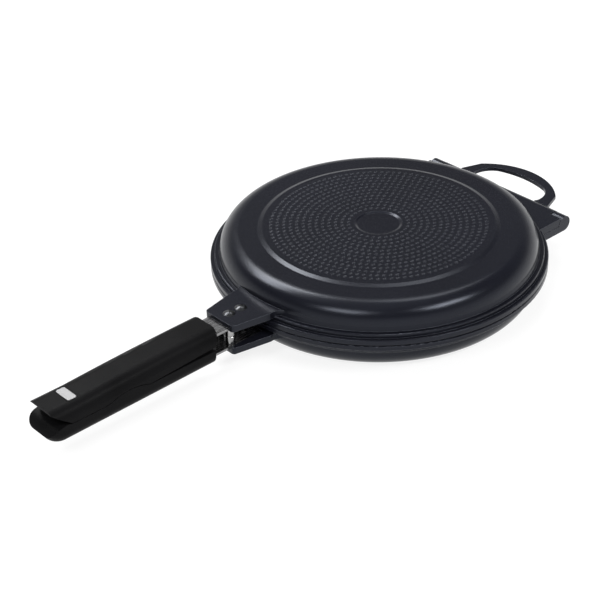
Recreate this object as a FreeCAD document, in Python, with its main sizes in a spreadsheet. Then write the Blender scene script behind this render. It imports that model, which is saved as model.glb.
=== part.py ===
"""Double sided flip pan: two die-cast pans hinged at the rear, closed by split handles.

Millimetres, +Z up. The origin is the centre of the lower pan's flat base, the handles point
along -X and the hinge with its loop lies along +X. A "rise" is a height counted from the
parting plane between the two pans, away from it on either side.
"""
import FreeCAD, Part
import Sketcher
import math
import os

from FreeCAD import Placement, Rotation, Vector

NODE_FOLDER = "parts"
UPPER = 1
LOWER = -1
MATCH_TOLERANCE = 0.01

# Driving sizes in millimetres, each a cell of the sheet under its own alias.
SIZES = {
    # pans
    "pan_half_height": 31.0,
    "seam_half": 0.3,
    "rim_radius": 150.0,
    "flange_rise": 5.2,
    "lip_inset": 3.6,
    "lip_rise": 9.0,
    "wall_inset": 9.0,
    "wall_lean": 1.2,
    "wall_thickness": 3.0,
    "shell_thickness": 2.9,
    "shoulder_radius": 17.0,
    "disc_inset": 21.0,
    "disc_step": 1.1,
    "disc_slope": 4.0,
    "recess_radius": 21.0,
    "recess_depth": 1.0,
    "recess_slope": 2.2,
    "rim_round": 0.8,
    # rim seal
    "seal_inset": 3.8,
    "seal_width": 3.6,
    "seal_depth": 2.6,
    "seal_clearance": 0.05,
    "seal_crown_gap": 0.04,
    # hinge
    "hinge_gap": 6.6,
    "knuckle_wall": 5.0,
    "knuckle_half": 69.2,
    "ear_wall": 4.8,
    "ear_length": 12.3,
    "wing_setback": 5.6,
    "wing_gap": 0.9,
    "turning_clearance": 0.3,
    "rod_radius": 2.5,
    "rod_end_clearance": 0.2,
    "rod_running_clearance": 0.06,
    "rod_seat_clearance": 0.02,
    "plug_length": 2.9,
    "plug_sink": 0.4,
    "washer_wall": 2.44,
    "washer_thickness": 0.8,
    "washer_clearance": 0.1,
    "heel_wall": 2.4,
    "heel_shelf_rise": 4.0,
    "heel_front_wall": 4.5,
    "heel_slope": 4.0,
    "heel_lip": 5.0,
    "heel_margin": 1.5,
    # loop
    "loop_face_gap": 1.1,
    "loop_centre_setback": 14.4,
    "loop_radius": 64.1,
    "loop_band": 11.5,
    "loop_top_rise": 3.8,
    "loop_thickness": 3.4,
    "loop_root_half": 54.4,
    "loop_root_run": 20.2,
    "eye_half": 40.2,
    "eye_toe_radius": 7.5,
    "eye_corner_radius": 21.7,
    "eye_bow_half": 28.0,
    "eye_bow": 4.5,
    # handle brackets
    "bracket_length": 34.4,
    "bracket_run": 35.4,
    "bracket_flare": 9.0,
    "bracket_flare_radius": 9.5,
    "bracket_root_depth": 10.0,
    "bracket_tip_half": 17.2,
    "bracket_spread": 7.0,
    "bracket_top_rise": 13.9,
    "bracket_skirt_height": 6.1,
    "bracket_plate_thickness": 3.8,
    "bracket_corner_radius": 3.0,
    # tangs
    "tang_half": 12.8,
    "tang_thickness": 2.0,
    "tang_engagement": 63.0,
    "tang_corner_radius": 3.0,
    "tang_side_clearance": 0.3,
    "tang_end_clearance": 0.5,
    # rivets and their washers
    "rivet_setback": 10.4,
    "rivet_pitch": 12.5,
    "rivet_radius": 2.4,
    "rivet_hole_clearance": 0.05,
    "rivet_head_overlap": 3.0,
    "rivet_head_height": 1.8,
    "rivet_tail_overlap": 1.2,
    "rivet_tail_length": 1.4,
    "rivet_washer_wall": 2.15,
    "rivet_washer_thickness": 0.8,
    # closing magnets
    "magnet_setback": 4.4,
    "magnet_margin": 0.2,
    "magnet_radius": 4.6,
    "magnet_gap_half": 0.15,
    "magnet_bevel": 0.5,
    # grips
    "neck_length": 19.0,
    "grip_half": 18.6,
    "grip_length": 157.5,
    "grip_rear_rise": 14.2,
    "grip_front_swell": 3.2,
    "grip_front_lean": 5.0,
    "grip_mouth_rise": 3.4,
    "grip_level_length": 31.0,
    "grip_lip_thickness": 2.2,
    "grip_parting_setback": 16.0,
    "grip_side_round": 10.5,
    "scoop_setback": 3.5,
    "scoop_half": 20.0,
    "scoop_rise": 4.3,
    "scoop_gap": 0.6,
    "lower_grip_front_rise": 15.2,
    "lower_grip_swell": 1.2,
    "nose_foot_setback": 9.0,
    "nose_reach": 4.5,
    "nose_rise": 8.0,
    "nose_under_radius": 16.0,
    "nose_back_radius": 17.0,
    # grip liners and their screws
    "liner_thickness": 2.5,
    "liner_front_gap": 1.0,
    "liner_clearance": 0.1,
    "liner_boss_wall": 2.7,
    "tang_pocket_clearance": 0.1,
    "screw_setback": 15.0,
    "screw_pitch": 36.0,
    "screw_radius": 1.75,
    "screw_head_overlap": 1.25,
    "screw_head_height": 1.6,
    "screw_head_sink": 0.3,
    "screw_clearance": 0.05,
    "screw_drive_radius": 1.2,
    "screw_drive_depth": 0.9,
    # badge plate
    "badge_setback": 24.0,
    "badge_length": 8.2,
    "badge_width": 17.6,
    "badge_thickness": 0.8,
    "badge_proud": 0.3,
    "badge_corner_radius": 1.6,
    "badge_clearance": 0.08,
    # shared
    "cut_overrun": 1.0,
}


class Size:
    """A length with its value and the sheet expression that yields it."""

    def __init__(self, value, text):
        self.value = value
        self.text = text

    def _pair(self, other):
        if isinstance(other, Size):
            return other
        return Size(float(other), repr(float(other)))

    def __add__(self, other):
        other = self._pair(other)
        return Size(self.value + other.value, f"({self.text} + {other.text})")

    def __sub__(self, other):
        other = self._pair(other)
        return Size(self.value - other.value, f"({self.text} - {other.text})")

    def __mul__(self, other):
        other = self._pair(other)
        return Size(self.value * other.value, f"({self.text} * {other.text})")

    def __truediv__(self, other):
        other = self._pair(other)
        return Size(self.value / other.value, f"({self.text} / {other.text})")

    def __neg__(self):
        return self * -1


ZERO = Size(0.0, "0.0")


def half_chord(radius, distance):
    """Half the chord of a circle at some distance from its centre."""
    squared = radius * radius - distance * distance
    return Size(math.sqrt(squared.value), f"sqrt({squared.text})")


def arc_radius(half, rise):
    """The radius of an arc from half its chord and its rise over the chord."""
    return (half * half + rise * rise) / (rise * 2)


class Sheet:
    """The spreadsheet of driving sizes, read back as expressions: sheet.rim_radius."""

    def __init__(self, doc):
        self.cells = doc.addObject("Spreadsheet::Sheet", "Sizes")
        for row, (alias, value) in enumerate(SIZES.items(), start=1):
            self.cells.set(f"A{row}", alias)
            self.cells.set(f"B{row}", str(value))
            self.cells.setAlias(f"B{row}", alias)
        doc.recompute()

    def __getattr__(self, alias):
        return Size(float(self.cells.get(alias)), f"Sizes.{alias}")


doc = FreeCAD.newDocument("FlipPan")
S = Sheet(doc)

# Radii and reaches that follow from the driving sizes.
LIP_RADIUS = S.rim_radius - S.lip_inset
WALL_RADIUS = S.rim_radius - S.wall_inset
DISC_RADIUS = WALL_RADIUS - S.shoulder_radius - S.disc_inset
SEAL_OUTER_RADIUS = S.rim_radius - S.seal_inset
SEAL_INNER_RADIUS = SEAL_OUTER_RADIUS - S.seal_width

HINGE_REACH = S.rim_radius + S.hinge_gap
KNUCKLE_RADIUS = S.rod_radius + S.knuckle_wall
EAR_RADIUS = S.rod_radius + S.ear_wall
EAR_INNER = S.knuckle_half + S.washer_thickness + S.washer_clearance * 2
LUG_HALF = EAR_INNER + S.ear_length
LUG_ROOT = half_chord(WALL_RADIUS, LUG_HALF)
PLUG_OUTER = LUG_HALF - S.plug_sink
PLUG_INNER = PLUG_OUTER - S.plug_length
ROD_HALF = PLUG_INNER - S.rod_end_clearance
TROUGH_RADIUS = KNUCKLE_RADIUS + S.turning_clearance
HEEL_RISE = TROUGH_RADIUS + S.heel_wall
HEEL_FRONT = HINGE_REACH - TROUGH_RADIUS - S.heel_front_wall

LOOP_FACE = HINGE_REACH + TROUGH_RADIUS + S.loop_face_gap
HEEL_BACK = LOOP_FACE + S.heel_lip
LOOP_CENTRE = HINGE_REACH - S.loop_centre_setback
LOOP_JOIN = LOOP_FACE + S.loop_root_run
LOOP_JOIN_HALF = half_chord(S.loop_radius, LOOP_JOIN - LOOP_CENTRE)
LOOP_TAPER = (S.loop_root_half - LOOP_JOIN_HALF) / S.loop_root_run
LOOP_BACK_HALF = S.loop_root_half - LOOP_TAPER * S.heel_lip
EYE_END = LOOP_CENTRE + S.loop_radius - S.loop_band
EYE_TOE_HALF = S.eye_half - S.eye_toe_radius + half_chord(S.eye_toe_radius, S.heel_lip)
HEEL_HALF = S.loop_root_half + S.heel_margin

BRACKET_TIP = S.rim_radius + S.bracket_length
BRACKET_NECK = BRACKET_TIP - S.bracket_run
BRACKET_NECK_HALF = S.bracket_tip_half + S.bracket_spread
BRACKET_FOOT_HALF = BRACKET_NECK_HALF + S.bracket_flare
BRACKET_FOOT = half_chord(WALL_RADIUS, BRACKET_FOOT_HALF)
BRACKET_ROOT = BRACKET_FOOT - S.bracket_root_depth
RIVET_NEAR = S.rim_radius + S.rivet_setback
RIVET_BORE = S.rivet_radius + S.rivet_hole_clearance
SKIRT_RISE = S.bracket_top_rise - S.bracket_skirt_height
TANG_OUTER_RISE = S.bracket_top_rise - S.bracket_plate_thickness
TANG_INNER_RISE = TANG_OUTER_RISE - S.tang_thickness
MAGNET_OFFSET = S.tang_half - S.magnet_margin - S.magnet_radius

GRIP_FRONT = BRACKET_TIP + S.neck_length
GRIP_REAR = GRIP_FRONT + S.grip_length
GRIP_PARTING_END = GRIP_REAR - S.grip_parting_setback
TANG_END = GRIP_FRONT + S.tang_engagement
POCKET_END = TANG_END + S.tang_end_clearance
SCOOP_CENTRE = POCKET_END + S.scoop_setback + S.scoop_half
SCREW_FRONT = GRIP_FRONT + S.screw_setback
SCREW_BORE = S.screw_radius + S.screw_clearance
BADGE_CENTRE = GRIP_REAR - S.badge_setback
SCOOP_ARC = arc_radius(S.scoop_half, S.scoop_rise)


def level(side, rise):
    """The height over the table of a rise counted from the parting plane."""
    return S.pan_half_height + rise * side


def new_body(name):
    body = doc.addObject("PartDesign::Body", name)
    body.Label = name
    return body


def origin_item(body, role):
    """One of the body's own origin planes or axes."""
    return [item for item in body.Origin.OriginFeatures if item.Role == role][0]


def new_sketch(body, name, plane, offset=ZERO, along=ZERO):
    """A sketch on an origin plane, moved along the plane's normal and its first axis."""
    sketch = body.newObject("Sketcher::SketchObject", name)
    sketch.AttachmentSupport = [(origin_item(body, plane), "")]
    sketch.MapMode = "FlatFace"
    sketch.AttachmentOffset = Placement(Vector(along.value, 0, offset.value), Rotation())
    if offset is not ZERO:
        sketch.setExpression("AttachmentOffset.Base.z", offset.text)
    if along is not ZERO:
        sketch.setExpression("AttachmentOffset.Base.x", along.text)
    return sketch


def pin_point(sketch, geometry, vertex, x, y):
    """Fixes a vertex of the sketch at two sizes, or on an axis where a size is zero."""
    for kind, size, axis in (("DistanceX", x, -2), ("DistanceY", y, -1)):
        if size is ZERO:
            held = Sketcher.Constraint("PointOnObject", geometry, vertex, axis)
            sketch.addConstraint(held)
            continue
        held = Sketcher.Constraint(kind, -1, 1, geometry, vertex, size.value)
        index = sketch.addConstraint(held)
        sketch.setExpression(f"Constraints[{index}]", size.text)


def pin_radius(sketch, edge, radius):
    index = sketch.addConstraint(Sketcher.Constraint("Radius", edge, radius.value))
    sketch.setExpression(f"Constraints[{index}]", radius.text)


def arc_centre(start, end, radius, turn):
    """The centre of an arc from start to end that turns left (1) or right (-1)."""
    chord = end - start
    height = math.sqrt(max(radius * radius - chord.Length * chord.Length / 4, 0.0))
    left = Vector(-chord.y, chord.x, 0) / chord.Length
    return (start + end) / 2 + left * (turn * height)


def draw_outline(sketch, corners):
    """Draws a closed outline whose corners and arc radii follow the sheet.

    A corner is (x, y) after a straight edge, or (x, y, radius, turn) after an arc.
    """
    count = len(corners)
    points = [Vector(corner[0].value, corner[1].value, 0) for corner in corners]
    edges = []
    for index in range(count):
        start = points[index - 1]
        end = points[index]
        if len(corners[index]) == 2:
            edge = sketch.addGeometry(Part.LineSegment(start, end), False)
            edges.append((edge, 1, 2))
            continue
        radius, turn = corners[index][2:]
        centre = arc_centre(start, end, radius.value, turn)
        swept = (start, end) if turn > 0 else (end, start)
        angles = [math.atan2(point.y - centre.y, point.x - centre.x) for point in swept]
        circle = Part.Circle(centre, Vector(0, 0, 1), radius.value)
        edge = sketch.addGeometry(Part.ArcOfCircle(circle, *angles), False)
        edges.append((edge, 1, 2) if turn > 0 else (edge, 2, 1))
        pin_radius(sketch, edge, radius)
    for index in range(count):
        edge, _, finish = edges[index]
        following, begin, _ = edges[(index + 1) % count]
        joined = Sketcher.Constraint("Coincident", edge, finish, following, begin)
        sketch.addConstraint(joined)
        pin_point(sketch, edge, finish, corners[index][0], corners[index][1])


def draw_circle(sketch, x, y, radius):
    circle = Part.Circle(Vector(x.value, y.value, 0), Vector(0, 0, 1), radius.value)
    edge = sketch.addGeometry(circle, False)
    pin_point(sketch, edge, 3, x, y)
    pin_radius(sketch, edge, radius)


def extrude(body, kind, name, sketch, length, symmetric, flipped):
    feature = body.newObject(kind, name)
    feature.Profile = sketch
    feature.SideType = "Symmetric" if symmetric else "One side"
    feature.Reversed = flipped
    feature.Length = length.value
    feature.setExpression("Length", length.text)
    return feature


def pad(body, name, sketch, length, symmetric=False, flipped=False):
    return extrude(body, "PartDesign::Pad", name, sketch, length, symmetric, flipped)


def pocket(body, name, sketch, length, symmetric=False, flipped=False):
    return extrude(body, "PartDesign::Pocket", name, sketch, length, symmetric, flipped)


def layer(body, name, side, low, high, draw, cut=False):
    """Pads or cuts a flat outline between two rises on one side of the parting plane."""
    sketch = new_sketch(body, name + "_outline", "XY_Plane", level(side, low))
    draw(sketch)
    flipped = (side == LOWER) != cut
    make = pocket if cut else pad
    return make(body, name, sketch, high - low, flipped=flipped)


def turned(body, kind, name, corners, x=ZERO, y=ZERO):
    """Turns an outline of radii and heights about the upright axis at one place in plan."""
    sketch = new_sketch(body, name + "_outline", "XZ_Plane", y if y is ZERO else -y, x)
    draw_outline(sketch, corners)
    feature = body.newObject(kind, name)
    feature.Profile = sketch
    feature.ReferenceAxis = (sketch, ["V_Axis"])
    feature.Angle = 360
    return feature


def revolve(body, name, corners, x=ZERO, y=ZERO):
    return turned(body, "PartDesign::Revolution", name, corners, x, y)


def groove(body, name, corners):
    return turned(body, "PartDesign::Groove", name, corners)


def repeat_backwards(body, feature, pitch):
    """Repeats a feature once, one pitch further along the handle."""
    pattern = body.newObject("PartDesign::LinearPattern", feature.Name + "_row")
    pattern.Originals = [feature]
    pattern.Direction = (origin_item(body, "X_Axis"), [""])
    pattern.Reversed = True
    pattern.Occurrences = 2
    pattern.Length = pitch.value
    pattern.setExpression("Length", pitch.text)
    body.Tip = pattern
    return pattern


def mirror_sideways(body, feature):
    """Repeats a feature on the other side of the handle's centre plane."""
    pattern = body.newObject("PartDesign::Mirrored", feature.Name + "_pair")
    pattern.Originals = [feature]
    pattern.MirrorPlane = (origin_item(body, "XZ_Plane"), [""])
    body.Tip = pattern
    return pattern


def fillet(body, name, radius, chooser):
    """Rounds the edges of the body's last shape that the chooser accepts."""
    doc.recompute()
    tip = body.Tip
    edges = enumerate(tip.Shape.Edges, start=1)
    names = [f"Edge{index}" for index, edge in edges if chooser(edge)]
    feature = body.newObject("PartDesign::Fillet", name)
    feature.Base = (tip, names)
    feature.Radius = radius.value
    feature.setExpression("Radius", radius.text)
    return feature


def near(measured, wanted):
    """True where two lengths agree."""
    return abs(measured - wanted) < MATCH_TOLERANCE


def ring_edge(radius, *heights):
    """Chooses the whole circles about the pan's axis with one radius, at some heights."""
    def chooser(edge):
        curve = edge.Curve
        if not isinstance(curve, Part.Circle) or not edge.isClosed():
            return False
        level_found = any(near(curve.Center.z, height.value) for height in heights)
        return near(curve.Radius, radius.value) and level_found
    return chooser


def upright_edge(x, half_width):
    """Chooses the upright straight edges at one reach and half width, on both sides."""
    def chooser(edge):
        if not isinstance(edge.Curve, Part.Line):
            return False
        start, end = edge.Vertexes[0].Point, edge.Vertexes[1].Point
        upright = near(start.x, end.x) and near(start.y, end.y)
        return upright and near(start.x, x.value) and near(abs(start.y), half_width.value)
    return chooser


def draw_band(low_x, high_x, half_width):
    """Draws a rectangle that runs along the handle, centred on it."""
    def draw(sketch):
        corners = [(low_x, -half_width), (high_x, -half_width)]
        corners += [(high_x, half_width), (low_x, half_width)]
        draw_outline(sketch, corners)
    return draw


def draw_holes(centres, radius):
    """Draws circles on the handle's centre line."""
    def draw(sketch):
        for centre in centres:
            draw_circle(sketch, centre, ZERO, radius)
    return draw


def rivet_places():
    return [-RIVET_NEAR, -(RIVET_NEAR + S.rivet_pitch)]


def screw_places():
    return [-SCREW_FRONT, -(SCREW_FRONT + S.screw_pitch)]


def base_rise():
    """The rise of a pan's outer base face."""
    return S.pan_half_height


def cavity_rise():
    """The rise of a pan's cooking surface."""
    return S.pan_half_height - S.disc_step - S.shell_thickness


def cast_shell(body, side):
    """The solid outside of one pan: flange, lip, wall, shoulder and raised base disc."""
    shell_rise = base_rise() - S.disc_step
    shoulder_start = WALL_RADIUS - S.shoulder_radius
    seam = level(side, S.seam_half)
    flange = level(side, S.flange_rise)
    lip = level(side, S.lip_rise)
    base = level(side, base_rise())
    shell = level(side, shell_rise)
    revolve(body, body.Name + "_shell", [
        (ZERO, base),
        (DISC_RADIUS, base),
        (DISC_RADIUS + S.disc_slope, shell),
        (shoulder_start, shell),
        (WALL_RADIUS, level(side, shell_rise - S.shoulder_radius), S.shoulder_radius, -side),
        (WALL_RADIUS + S.wall_lean, lip),
        (LIP_RADIUS, lip),
        (LIP_RADIUS, flange),
        (S.rim_radius, flange),
        (S.rim_radius, seam),
        (ZERO, seam),
    ])
    fillet(body, body.Name + "_rim_round", S.rim_round, ring_edge(S.rim_radius, seam, flange))
    fillet(body, body.Name + "_lip_round", S.rim_round, ring_edge(LIP_RADIUS, lip))


def cast_bracket(body, side):
    """The tapered handle bracket, open below for the tang."""
    tip, neck, foot, back = -BRACKET_TIP, -BRACKET_NECK, -BRACKET_FOOT, -BRACKET_ROOT
    plate_rise = S.bracket_top_rise - S.bracket_plate_thickness

    def taper(sketch):
        draw_outline(sketch, [
            (tip, -S.bracket_tip_half),
            (neck, -BRACKET_NECK_HALF),
            (foot, -BRACKET_FOOT_HALF, S.bracket_flare_radius, -1),
            (back, -BRACKET_NECK_HALF),
            (back, BRACKET_NECK_HALF),
            (foot, BRACKET_FOOT_HALF),
            (neck, BRACKET_NECK_HALF, S.bracket_flare_radius, -1),
            (tip, S.bracket_tip_half),
        ])

    layer(body, body.Name + "_bracket", side, SKIRT_RISE, S.bracket_top_rise, taper)
    fillet(body, body.Name + "_bracket_corner", S.bracket_corner_radius,
           upright_edge(tip, S.bracket_tip_half))
    channel = draw_band(tip - S.cut_overrun, -S.rim_radius,
                        S.tang_half + S.tang_side_clearance)
    layer(body, body.Name + "_channel", side, SKIRT_RISE - S.cut_overrun,
          plate_rise, channel, cut=True)
    holes = draw_holes(rivet_places(), RIVET_BORE)
    layer(body, body.Name + "_rivet_holes", side, plate_rise - S.cut_overrun,
          S.bracket_top_rise + S.cut_overrun, holes, cut=True)


def cut_cavity(body, side):
    """The cooking cavity inside one pan."""
    floor = level(side, cavity_rise())
    mouth = level(side, S.seam_half - S.cut_overrun)
    inner_wall = WALL_RADIUS - S.wall_thickness
    inner_shoulder = S.shoulder_radius - S.wall_thickness
    shoulder_end = level(side, cavity_rise() - inner_shoulder)
    groove(body, body.Name + "_cavity", [
        (ZERO, floor),
        (inner_wall - inner_shoulder, floor),
        (inner_wall, shoulder_end, inner_shoulder, -side),
        (inner_wall + S.wall_lean, mouth),
        (ZERO, mouth),
    ])


def round_lug(body, name, make, radius, near_half, far_half):
    """Adds or cuts a cylinder on the hinge axis at both ends of the lug."""
    length = far_half - near_half
    for tag, offset in (("right", near_half), ("left", -far_half)):
        sketch = new_sketch(body, f"{name}_{tag}_outline", "XZ_Plane", offset)
        draw_circle(sketch, HINGE_REACH, S.pan_half_height, radius)
        make(body, f"{name}_{tag}", sketch, length, flipped=make is pocket)


def middle_lug(body, name, make, radius, half_width):
    """Adds or cuts a cylinder on the hinge axis across the middle of the lug."""
    sketch = new_sketch(body, name + "_outline", "XZ_Plane")
    draw_circle(sketch, HINGE_REACH, S.pan_half_height, radius)
    make(body, name, sketch, half_width * 2, symmetric=True)


def make_upper_pan():
    """The upper pan: the hinge's long knuckle between two wings, and a recess in its base."""
    body = new_body("upper_pan")
    cast_shell(body, UPPER)
    wing_end = HINGE_REACH - S.wing_setback

    def lug(sketch):
        draw_outline(sketch, [
            (LUG_ROOT, -LUG_HALF),
            (wing_end, -LUG_HALF),
            (wing_end, -S.knuckle_half),
            (HINGE_REACH, -S.knuckle_half),
            (HINGE_REACH, S.knuckle_half),
            (wing_end, S.knuckle_half),
            (wing_end, LUG_HALF),
            (LUG_ROOT, LUG_HALF),
        ])

    layer(body, "upper_pan_lug", UPPER, S.seam_half, KNUCKLE_RADIUS, lug)
    middle_lug(body, "upper_pan_knuckle", pad, KNUCKLE_RADIUS, S.knuckle_half)
    cast_bracket(body, UPPER)
    cut_cavity(body, UPPER)
    recess_floor = level(UPPER, base_rise() - S.recess_depth)
    recess_mouth = level(UPPER, base_rise())
    groove(body, "upper_pan_recess", [
        (ZERO, recess_floor),
        (S.recess_radius - S.recess_slope, recess_floor),
        (S.recess_radius, recess_mouth),
        (S.recess_radius, recess_mouth + S.cut_overrun),
        (ZERO, recess_mouth + S.cut_overrun),
    ])
    round_lug(body, "upper_pan_wing_relief", pocket, EAR_RADIUS + S.wing_gap,
              S.knuckle_half, LUG_HALF + S.cut_overrun)
    middle_lug(body, "upper_pan_rod_bore", pocket, S.rod_radius + S.rod_running_clearance,
               S.knuckle_half + S.cut_overrun)
    return body


def add_loop(body):
    """The loop behind the hinge, standing on the heel by two roots."""
    bow_start = EYE_END - S.eye_bow
    bow_arc = arc_radius(S.eye_bow_half, S.eye_bow)

    def ring(sketch):
        draw_outline(sketch, [
            (LOOP_FACE, -S.loop_root_half),
            (LOOP_JOIN, -LOOP_JOIN_HALF),
            (LOOP_JOIN, LOOP_JOIN_HALF, S.loop_radius, 1),
            (LOOP_FACE, S.loop_root_half),
            (LOOP_FACE, EYE_TOE_HALF),
            (HEEL_BACK, S.eye_half, S.eye_toe_radius, -1),
            (bow_start, S.eye_bow_half, S.eye_corner_radius, -1),
            (bow_start, -S.eye_bow_half, bow_arc, -1),
            (HEEL_BACK, -S.eye_half, S.eye_corner_radius, -1),
            (LOOP_FACE, -EYE_TOE_HALF, S.eye_toe_radius, -1),
        ])

    def roots(sketch):
        for hand in (1, -1):
            draw_outline(sketch, [
                (LOOP_FACE, S.loop_root_half * hand),
                (HEEL_BACK, LOOP_BACK_HALF * hand),
                (HEEL_BACK, S.eye_half * hand),
                (LOOP_FACE, EYE_TOE_HALF * hand, S.eye_toe_radius, hand),
            ])

    layer(body, "lower_pan_loop", UPPER, S.loop_top_rise - S.loop_thickness,
          S.loop_top_rise, ring)
    layer(body, "lower_pan_loop_roots", UPPER, -HEEL_RISE, S.loop_top_rise, roots)


def add_heel(body):
    """The heel that wraps under the knuckle and carries the loop."""
    sketch = new_sketch(body, "lower_pan_heel_outline", "XZ_Plane")
    shelf = level(LOWER, S.heel_shelf_rise)
    under = level(LOWER, HEEL_RISE)
    draw_outline(sketch, [
        (HEEL_FRONT, shelf),
        (HEEL_FRONT + S.heel_slope, under),
        (HEEL_BACK, under),
        (HEEL_BACK, shelf),
    ])
    pad(body, "lower_pan_heel", sketch, HEEL_HALF * 2, symmetric=True)


def make_lower_pan():
    """The lower pan, with the hinge's ears, the loop and the groove for the seal."""
    body = new_body("lower_pan")
    cast_shell(body, LOWER)
    layer(body, "lower_pan_lug", LOWER, S.seam_half, EAR_RADIUS,
          draw_band(LUG_ROOT, HINGE_REACH, LUG_HALF))
    round_lug(body, "lower_pan_ear", pad, EAR_RADIUS, EAR_INNER, LUG_HALF)
    add_heel(body)
    add_loop(body)
    middle_lug(body, "lower_pan_trough", pocket, KNUCKLE_RADIUS + S.turning_clearance,
               EAR_INNER)
    cast_bracket(body, LOWER)
    cut_cavity(body, LOWER)
    seam = level(LOWER, S.seam_half - S.cut_overrun)
    groove_floor = level(LOWER, S.seam_half + S.seal_depth)
    inner = SEAL_INNER_RADIUS - S.seal_clearance
    outer = SEAL_OUTER_RADIUS + S.seal_clearance
    groove(body, "lower_pan_seal_groove", [
        (inner, seam), (outer, seam), (outer, groove_floor), (inner, groove_floor)])
    bore = new_sketch(body, "lower_pan_rod_bore_outline", "XZ_Plane",
                      -(LUG_HALF + S.cut_overrun))
    draw_circle(bore, HINGE_REACH, S.pan_half_height, S.rod_radius + S.rod_seat_clearance)
    depth = LUG_HALF + S.cut_overrun + ROD_HALF + S.rod_end_clearance
    pocket(body, "lower_pan_rod_bore", bore, depth, flipped=True)
    return body


def make_seal():
    """The rim seal, with a crowned top that meets the upper flange."""
    body = new_body("rim_seal")
    foot = level(LOWER, S.seam_half + S.seal_depth)
    face = level(LOWER, S.seam_half)
    crown = S.seam_half * 2 - S.seal_crown_gap
    crown_radius = arc_radius(S.seal_width / 2, crown)
    revolve(body, "rim_seal_ring", [
        (SEAL_INNER_RADIUS, foot),
        (SEAL_OUTER_RADIUS, foot),
        (SEAL_OUTER_RADIUS, face),
        (SEAL_INNER_RADIUS, face, crown_radius, 1),
    ])
    return body


def make_rod_piece(name, start, end, radius, bore=None):
    """A cylinder or ring on the hinge axis between two places across the pan."""
    body = new_body(name)
    sketch = new_sketch(body, name + "_outline", "XZ_Plane", start)
    draw_circle(sketch, HINGE_REACH, S.pan_half_height, radius)
    if bore is not None:
        draw_circle(sketch, HINGE_REACH, S.pan_half_height, bore)
    pad(body, name + "_round", sketch, end - start)
    return body


def make_hinge_hardware():
    """The hinge rod, the plug over its end and the two thrust washers."""
    make_rod_piece("hinge_rod", -ROD_HALF, ROD_HALF, S.rod_radius)
    make_rod_piece("hinge_rod_plug", -PLUG_OUTER, -PLUG_INNER, S.rod_radius)
    inner = S.knuckle_half + S.washer_clearance
    bore = S.rod_radius + S.rod_running_clearance
    washers = make_rod_piece("hinge_washers", inner, inner + S.washer_thickness,
                             bore + S.washer_wall, bore)
    mirror_sideways(washers, washers.Tip)


def make_tang(name, side):
    """The flat steel tang between a bracket and its grip."""
    body = new_body(name)
    top = TANG_OUTER_RISE
    front = -(S.rim_radius + S.tang_end_clearance)
    layer(body, name + "_plate", side, top - S.tang_thickness, top,
          draw_band(-TANG_END, front, S.tang_half))
    fillet(body, name + "_corner", S.tang_corner_radius,
           upright_edge(-TANG_END, S.tang_half))
    under = top - S.tang_thickness - S.cut_overrun
    layer(body, name + "_rivet_holes", side, under, top + S.cut_overrun,
          draw_holes(rivet_places(), RIVET_BORE), cut=True)
    layer(body, name + "_screw_holes", side, under, top + S.cut_overrun,
          draw_holes(screw_places(), SCREW_BORE), cut=True)
    return body


def make_rivets(name, side):
    """Two domed rivets through the bracket and the tang."""
    body = new_body(name)
    head_rise = S.bracket_top_rise
    washer_rise = TANG_INNER_RISE - S.rivet_washer_thickness
    tail_rise = washer_rise - S.rivet_tail_length
    dome = S.rivet_head_height
    head_radius = S.rivet_radius + S.rivet_head_overlap
    tail_radius = S.rivet_radius + S.rivet_tail_overlap
    rivet = revolve(body, name + "_rivet", [
        (ZERO, level(side, tail_rise)),
        (tail_radius, level(side, tail_rise)),
        (tail_radius, level(side, washer_rise)),
        (S.rivet_radius, level(side, washer_rise)),
        (S.rivet_radius, level(side, head_rise)),
        (head_radius, level(side, head_rise)),
        (ZERO, level(side, head_rise + dome), arc_radius(head_radius, dome), side),
    ], x=-RIVET_NEAR)
    repeat_backwards(body, rivet, S.rivet_pitch)


def make_rivet_washers(name, side):
    """Two washers between the tang and the rivets' tails."""
    body = new_body(name)
    top = level(side, TANG_INNER_RISE)
    foot = level(side, TANG_INNER_RISE - S.rivet_washer_thickness)
    bore = RIVET_BORE
    washer = revolve(body, name + "_washer", [
        (bore, foot),
        ((RIVET_BORE + S.rivet_washer_wall), foot),
        ((RIVET_BORE + S.rivet_washer_wall), top),
        (bore, top),
    ], x=-RIVET_NEAR)
    repeat_backwards(body, washer, S.rivet_pitch)


def make_magnets(name, side):
    """Two closing magnets on the face of one tang."""
    body = new_body(name)
    top = level(side, TANG_INNER_RISE)
    bevel_rise = level(side, S.magnet_gap_half + S.magnet_bevel)
    face = level(side, S.magnet_gap_half)
    magnet = revolve(body, name + "_magnet", [
        (ZERO, face),
        (S.magnet_radius - S.magnet_bevel, face),
        (S.magnet_radius, bevel_rise),
        (S.magnet_radius, top),
        (ZERO, top),
    ], x=-(BRACKET_TIP - S.magnet_setback), y=MAGNET_OFFSET)
    mirror_sideways(body, magnet)


def grip_body(name, corners):
    """A grip's solid: its side outline across its full width, with rounded long edges."""
    body = new_body(name)
    sketch = new_sketch(body, name + "_outline", "XZ_Plane")
    draw_outline(sketch, corners)
    pad(body, name + "_block", sketch, S.grip_half * 2, symmetric=True)
    return body


def long_outer_edge(side, clear_rise):
    """Chooses the long edges along a grip's outer face, on both flanks."""
    def chooser(edge):
        middle = edge.valueAt((edge.FirstParameter + edge.LastParameter) / 2)
        rise = (middle.z - S.pan_half_height.value) * side
        box = edge.BoundBox
        flat = box.YLength < MATCH_TOLERANCE and near(abs(middle.y), S.grip_half.value)
        return flat and rise > clear_rise.value and box.XLength > box.ZLength
    return chooser


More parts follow.
